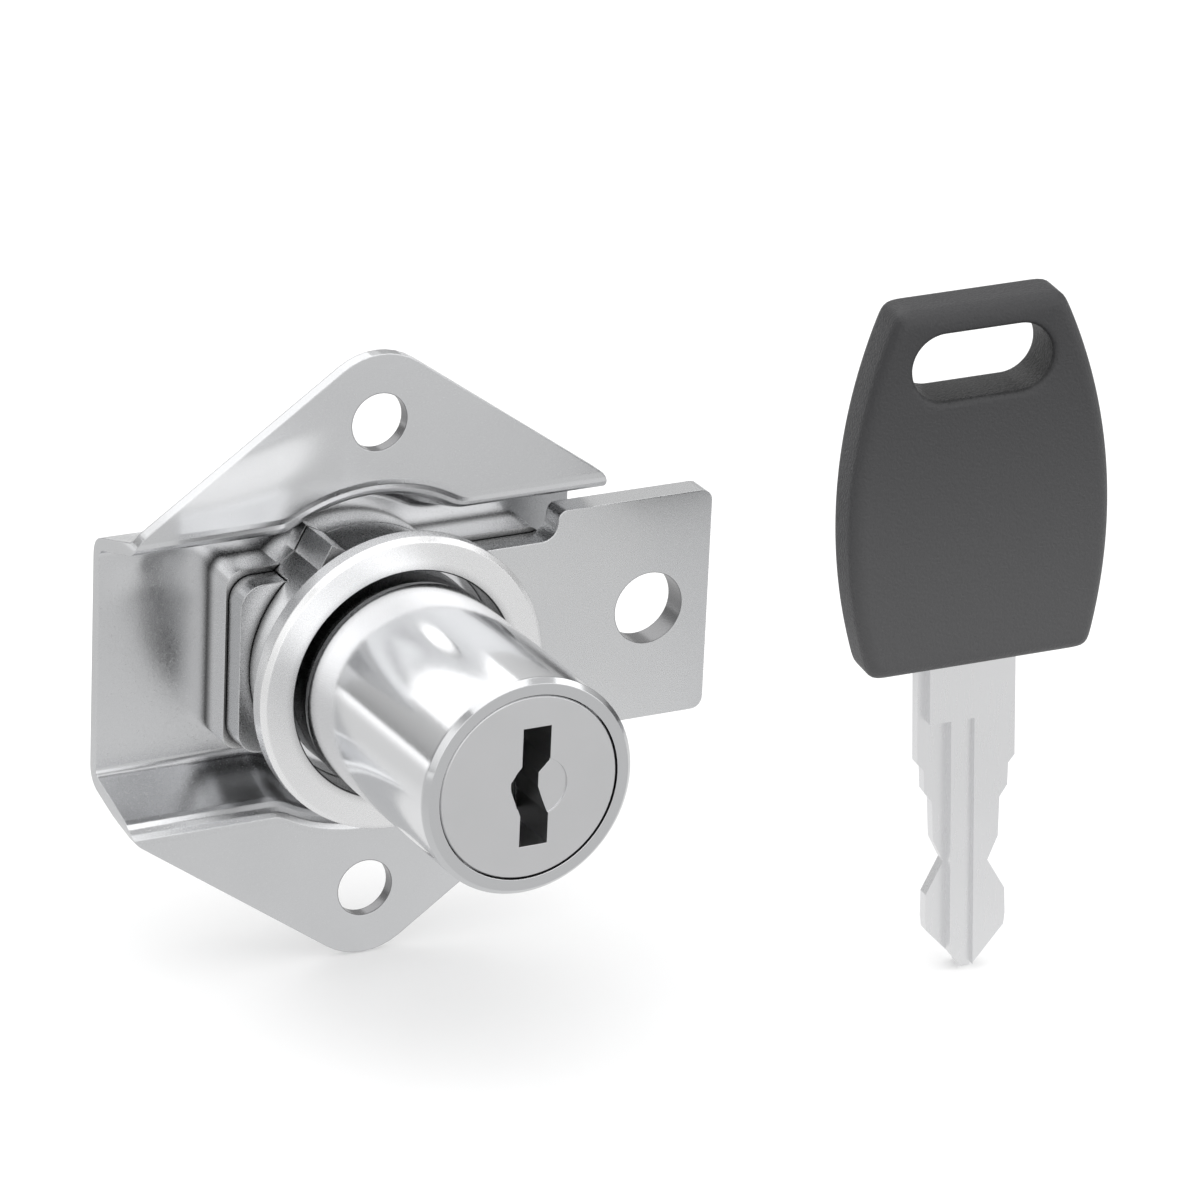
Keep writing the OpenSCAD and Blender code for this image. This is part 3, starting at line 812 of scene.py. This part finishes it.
    @staticmethod
    def _start_right(loop: np.ndarray, level: float) -> np.ndarray:
        """Starts a loop at its point nearest to a level, on the right."""
        right = np.where(loop[:, 0] > 0)[0]
        return np.roll(loop, -int(right[np.argmin(np.abs(loop[right, 1] - level))]), axis=0)

    @staticmethod
    def _outward(loop: np.ndarray) -> np.ndarray:
        """Turns the direction from each point's one neighbour to the other a quarter clockwise, to point out."""
        tangent = np.roll(loop, -1, axis=0) - np.roll(loop, 1, axis=0)
        tangent /= np.linalg.norm(tangent, axis=1)[:, None]
        return np.stack([tangent[:, 1], -tangent[:, 0]], axis=1)

    @staticmethod
    def _stand(loops: np.ndarray, depths: np.ndarray) -> np.ndarray:
        """Stands loops of (x, z) up at a depth y each."""
        return np.insert(loops, 1, depths[:, None], axis=2)

    def mesh(self) -> tuple[np.ndarray, list[list[int]]]:
        """Works out the closed pillow with its slot.

        With t from 0 to 90 degrees and half the thickness h, the pillow edge is the
        outline drawn in by soft (1 - cos t), at a depth of h - soft + soft sin t. The
        slot's rim is the slot moved out by rim (1 - sin t), at a depth of
        h - rim + rim cos t. The back is the front's mirror image. Triangles fill the
        two flats between the pillow edge and the rim.

        Returns:
            The points in metres in the frame, and the faces.
        """
        half, rim, slot = self.thick / 2, self.slot_rim, self.ring_slot()
        t = np.linspace(0, math.pi / 2, self.EDGE_RINGS)
        edge = np.stack([self.outline(inset) for inset in self.soft * (1 - np.cos(t))])
        depth = half - self.soft + self.soft * np.sin(t)
        outside = self._stand(np.concatenate([edge[::-1], edge]), np.r_[depth[::-1], -depth])
        t = t[::2]
        throat = slot + self._outward(slot) * (rim * (1 - np.sin(t)))[:, None, None]
        depth = half - rim + rim * np.cos(t)
        inside = self._stand(np.concatenate([throat, throat[::-1]]), np.r_[-depth, depth[::-1]])
        rings = np.concatenate([outside, inside])
        points, seam = rings.reshape(-1, 3), len(outside)
        faces = np.concatenate(
            [
                ring_quads(seam, self.count),
                ring_quads(len(inside), self.count, seam * self.count),
            ]
        ).tolist()
        faces += self._flat(points, 0, len(rings) - 1) + self._flat(points, seam - 1, seam)
        transform = np.array(self.matrix())
        return points @ transform[:3, :3].T + transform[:3, 3], faces

    def _flat(self, points: np.ndarray, outline_ring: int, slot_ring: int) -> list[list[int]]:
        """Fills the flat between the outline's ring and the slot's ring with triangles.

        Args:
            points: All the points.
            outline_ring: Number of the outline's ring.
            slot_ring: Number of the slot's ring.

        Returns:
            The triangles.
        """
        index = np.add.outer([outline_ring * self.count, slot_ring * self.count], np.arange(self.count))
        return index.ravel()[np.array(tessellate_polygon(points[index].tolist()))].tolist()


@dataclass
class WireSprings(FinerPiece):
    """The wafer springs as round wire, in place of the coarse CAD coils.

    Its sizes are in millimetres.

    Attributes:
        springs: How many there are; every other one sits upside down on the other side.
        plug_front: Depth of the plug's face.
        first: Depth of the first spring behind that face.
        pitch: Distance from one spring to the next.
        spring_x: How far to the side of the plug's middle line they stand.
        ear_h: Height of the wafer's ear that rests on them.
        length: Length of a spring.
        turns: How many turns it has.
        coil_d: Its outer width.
        wire_r: Radius of its wire.
        gap: How much shorter than its room it is.
        steps: Rings of points per turn.
        sides: Points per ring.
    """

    NAME = "wire_springs"
    BODY = Body.PLUG
    SLOT = Slot.SPRING
    STANDS_FOR = "wafer_springs"
    SHARP_DEG = 50.0

    springs: int = 5
    plug_front: float = -24.65
    first: float = 5.2
    pitch: float = 2.6
    spring_x: float = 4.15
    ear_h: float = 1.0
    length: float = 2.5
    turns: int = 4
    coil_d: float = 1.3
    wire_r: float = 0.13
    gap: float = 0.1
    steps: int = 24
    sides: int = 12

    def coil(self) -> np.ndarray:
        """Works out one spring's points, standing on z = 0 round the middle line.

        At an angle a round the coil and b round the wire, with the wire's middle at a
        radius m, x is (m + wire cos b) cos a, y is (m + wire cos b) sin a, and z is the
        wire's radius plus the share of the coil that is passed times its rise, plus
        wire sin b.

        Returns:
            Points by ring, side and coordinate.
        """
        passed = np.linspace(0, 1, self.steps * self.turns + 1)[:, None]
        a = 2 * math.pi * self.turns * passed
        b = np.linspace(0, 2 * math.pi, self.sides, endpoint=False)[None, :]
        radius = self.coil_d / 2 - self.wire_r + self.wire_r * np.cos(b)
        rise = self.length - 2 * self.wire_r - self.gap
        height = self.wire_r + rise * passed + self.wire_r * np.sin(b)
        return np.stack([radius * np.cos(a), radius * np.sin(a), height], axis=-1)

    def mesh(self) -> tuple[np.ndarray, list[list[int]]]:
        """Puts every spring in its place.

        The first one stands at spring_x, its top against the ear at half the ear's
        height below the middle. Every other one has x and z turned round. Each stands
        one pitch further back than the one before. Its two ends are flat.

        Returns:
            The points in metres in the frame, and the faces.
        """
        coil = self.coil()
        rings = len(coil)
        standing = coil.reshape(-1, 3) + [self.spring_x, 0, -self.ear_h / 2 - self.length]
        number = np.arange(self.springs)
        side = np.where(number % 2 == 0, 1.0, -1.0)
        turned = np.stack([side, np.ones(self.springs), side], axis=1)[:, None, :]
        points = standing[None] * turned
        points[:, :, 1] += (self.plug_front + self.first + number * self.pitch)[:, None]

        starts = (number * len(standing))[:, None, None]
        walls = ring_quads(rings, self.sides)[:, [0, 3, 2, 1]] + starts
        foot = np.arange(self.sides)
        ends = np.stack([foot, foot[::-1] + (rings - 1) * self.sides]) + starts
        return points.reshape(-1, 3) * MM, walls.reshape(-1, 4).tolist() + ends.reshape(-1, self.sides).tolist()


@dataclass(frozen=True)
class PackedNodes:
    """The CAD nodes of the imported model, whose meshes stay as they are.

    Attributes:
    """

    frame: dict

    def dress(self, shop: MaterialShop) -> None:
        """Puts on each node the material of the slot that the record gives it.

        Args:
            shop: Where the materials come from.
        """
        for sub in self.frame["record"]["subparts"]:
            node = self.frame["nodes"][sub["node"]]
            node.data.materials.clear()
            node.data.materials.append(shop.get(Slot(sub["material_slot"])))
            LOG.info("%s: %s", sub["node"], sub["material_slot"])


@dataclass(frozen=True)
class Sky:
    """A sky whose grey goes with the height of the direction, which is 0 level and 1 upright.

    Attributes:
        bands: Heights and the greys there.
        strength: Brightness of a full grey.
    """

    bands: Bands
    strength: float


@dataclass(frozen=True)
class Softbox:
    """One soft studio light.

    Attributes:
        name: The light's name.
        place: Where it stands.
        size: Width and height of its face.
        power: Watts.
        aim: The point that it faces.
    """

    name: str
    place: tuple[float, float, float]
    size: tuple[float, float]
    power: float
    aim: tuple[float, float, float] = (0.01, -0.01, 0.0)


@dataclass(frozen=True)
class Floor:
    """The pale paper that the object stands on.

    The camera sees it lifted towards white, and all white far off, so that no horizon
    shows. Metal sees greys that go with the distance in Y from the object's middle.

    Attributes:
        level: Its height.
        half: Half of its width.
        paper: Grey of the paper itself.
        roughness: The paper's roughness.
        lift: Share of white that the camera sees close by.
        white_span: Distances over which that share goes up to 1.
        glow: Distances in Y and the greys there, as metal sees them.
        glow_full: Brightness of a full grey.
        glow_share: Share of what metal sees that these greys make up.
    """

    level: float = -0.0232
    half: float = 2.5
    paper: float = 0.96
    roughness: float = 0.9
    lift: float = 0.25
    white_span: tuple[float, float] = (0.12, 0.40)
    glow: Bands = ((0.010, 0.59), (0.055, 0.46), (0.13, 0.46), (0.35, 0.95))
    glow_full: float = 1.6
    glow_share: float = 0.8

    def build(self) -> bpy.types.Object:
        """Lays the floor out flat and gives it its paper."""
        corners = np.array([(-1, -1), (1, -1), (1, 1), (-1, 1)]) * self.half
        floor = mesh_object("studio_floor", np.c_[corners, np.full(4, self.level)], [[0, 1, 2, 3]])
        floor.data.materials.append(self._paper())
        return floor

    def _paper(self) -> bpy.types.Material:
        """Builds the paper's material, which tells camera and mirrored rays apart.

        Returns:
            The material.
        """
        material = bpy.data.materials.new("studio_paper")
        material.use_nodes = True
        bench = NodeBench(material.node_tree)
        place = bench.add("TexCoord").outputs["Object"]
        ray = bench.add("LightPath").outputs
        inputs = {
            "Base Color": opaque(self.paper, self.paper, self.paper),
            "Roughness": self.roughness,
            "Specular IOR Level": 0.0,
        }
        paper = bench.add("BsdfPrincipled", inputs).outputs["BSDF"]
        white = bench.add("Emission", {"Color": WHITE, "Strength": ray["Is Camera Ray"]}).outputs["Emission"]
        shown_distance = bench.calc("MULTIPLY", bench.length(place), ray["Is Camera Ray"])
        seen = bench.blend(bench.step(shown_distance, self.white_span, (self.lift, 1.0)), paper, white)
        greys = bench.ramp(bench.calc("ABSOLUTE", bench.axis(place, Axis.Y)), self.glow)
        glow = bench.add("Emission", {"Color": greys, "Strength": self.glow_full}).outputs["Emission"]
        mirrored_share = bench.calc("MULTIPLY", ray["Is Glossy Ray"], self.glow_share)
        bench.add("OutputMaterial", {"Surface": bench.blend(mirrored_share, seen, glow)})
        return material


@dataclass(frozen=True)
class Surroundings:
    """The world: white to the camera, and two skies to all else.

    Attributes:
        ahead: The sky in front of the object.
        behind: The sky behind it and to its sides.
        turn: The direction's Y over which the one goes over into the other.
    """

    ahead: Sky = Sky(((0.0, 0.40), (0.05, 0.92), (0.50, 1.0), (0.66, 0.26), (1.0, 0.30)), 1.7)
    behind: Sky = Sky(((0.0, 0.34), (0.12, 0.50), (0.40, 0.70), (1.0, 0.90)), 1.0)
    turn: tuple[float, float] = (-0.75, -0.30)

    def build(self) -> None:
        """Makes the world and puts it in the scene."""
        world = bpy.data.worlds.new("studio")
        bpy.context.scene.world = world
        world.use_nodes = True
        bench = NodeBench(world.node_tree)
        direction = bench.add("TexCoord").outputs["Generated"]
        height = bench.axis(direction, Axis.Z)
        share = bench.step(bench.axis(direction, Axis.Y), self.turn)
        around = bench.blend(share, self._sky(bench, height, self.ahead), self._sky(bench, height, self.behind))
        backdrop = bench.add("Background", {"Color": WHITE, "Strength": 1.0}).outputs["Background"]
        camera_ray = bench.add("LightPath").outputs["Is Camera Ray"]
        bench.add("OutputWorld", {"Surface": bench.blend(camera_ray, around, backdrop)})

    @staticmethod
    def _sky(bench: NodeBench, height: Socket, sky: Sky) -> Socket:
        """Adds one sky's shader."""
        inputs = {"Color": bench.ramp(height, sky.bands), "Strength": sky.strength}
        return bench.add("Background", inputs).outputs["Background"]


@dataclass(frozen=True)
class PhotoCamera:
    """The camera, as solved from the photograph's round and straight edges.

    Attributes:
        place: Where it stands.
        azimuth_deg: How far it is turned about the upright, to the left of the object's front.
        elevation_deg: How far above level it looks down from.
        roll_deg: How far it is tilted about its line of sight.
        lens_mm: Focal length.
        sensor_mm: Width of its sensor.
        clip: Nearest and furthest distance that it shows.
    """

    place: tuple[float, float, float] = (-0.19653, -0.39466, 0.18415)
    azimuth_deg: float = 28.559
    elevation_deg: float = 22.097
    roll_deg: float = -2.621
    lens_mm: float = 200.72
    sensor_mm: float = 36.0
    clip: tuple[float, float] = (0.01, 10.0)

    def build(self) -> None:
        """Makes the camera from its own three axes, and looks through it.

        The axis that points back to it has the azimuth az and the elevation el: it is
        (-sin az cos el, -cos az cos el, sin el). The one to its right is level, and the
        third is upright to both. The roll then turns those two about the first.
        """
        azimuth, elevation, roll = map(math.radians, (self.azimuth_deg, self.elevation_deg, self.roll_deg))
        right = Vector((math.cos(azimuth), -math.sin(azimuth), 0.0))
        level = math.cos(elevation)
        back = Vector((-math.sin(azimuth) * level, -math.cos(azimuth) * level, math.sin(elevation)))
        up = back.cross(right)
        turned_right = right * math.cos(roll) - up * math.sin(roll)
        turned_up = right * math.sin(roll) + up * math.cos(roll)
        data = bpy.data.cameras.new("photo_camera")
        data.lens, data.sensor_width = self.lens_mm, self.sensor_mm
        data.clip_start, data.clip_end = self.clip
        camera = bpy.data.objects.new("photo_camera", data)
        bpy.context.scene.collection.objects.link(camera)
        axes = Matrix((turned_right, turned_up, back)).transposed().to_4x4()
        camera.matrix_world = Matrix.Translation(Vector(self.place)) @ axes
        bpy.context.scene.camera = camera


@dataclass(frozen=True)
class Studio:
    """All that isn't the object: floor, surroundings, lights and camera.

    Attributes:
        floor: The paper that the object stands on.
        surroundings: The world.
        lights: The soft lights.
        camera: The photograph's camera.
    """

    floor: Floor = Floor()
    surroundings: Surroundings = Surroundings()
    lights: tuple[Softbox, ...] = (
        Softbox("top_light", place=(-0.10, -0.12, 0.95), size=(1.3, 1.3), power=5.6),
        Softbox("side_light", place=(0.75, -0.30, 0.35), size=(0.35, 0.6), power=0.8),
        Softbox("back_light", place=(-0.10, 0.70, 0.55), size=(0.9, 0.5), power=1.2),
    )
    camera: PhotoCamera = PhotoCamera()

    def build(self) -> None:
        """Sets all of it up, shown without any change of tone."""
        self.floor.build()
        self.surroundings.build()
        for softbox in self.lights:
            self._light(softbox)
        self.camera.build()
        bpy.context.scene.view_settings.view_transform = "Standard"

    @staticmethod
    def _light(softbox: Softbox) -> None:
        """Adds one light, turned so that it faces its aim.

        Args:
            softbox: Its place, size and power.
        """
        data = bpy.data.lights.new(softbox.name, "AREA")
        data.shape = "RECTANGLE"
        data.size, data.size_y = softbox.size
        data.energy = softbox.power
        lamp = bpy.data.objects.new(softbox.name, data)
        bpy.context.scene.collection.objects.link(lamp)
        lamp.location = softbox.place
        lamp.rotation_mode = "QUATERNION"
        lamp.rotation_quaternion = (Vector(softbox.aim) - Vector(softbox.place)).to_track_quat("-Z", "Y")
        lamp.visible_camera = False


def main() -> None:
    """Loads the frame, sets up the studio and dresses the lock and its key."""
    logging.basicConfig(level=logging.INFO, format="%(name)s %(message)s")
    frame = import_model()
    Studio().build()
    shop = MaterialShop(FINISHES)
    PackedNodes(frame).dress(shop)
    for part in (KeyHead(), WireSprings()):
        piece = part.dress(shop)
        LOG.info("%s: %s, %d faces", piece.name, part.SLOT.value, len(piece.data.polygons))
    bpy.context.view_layer.update()


if __name__ == "__main__":
    main()
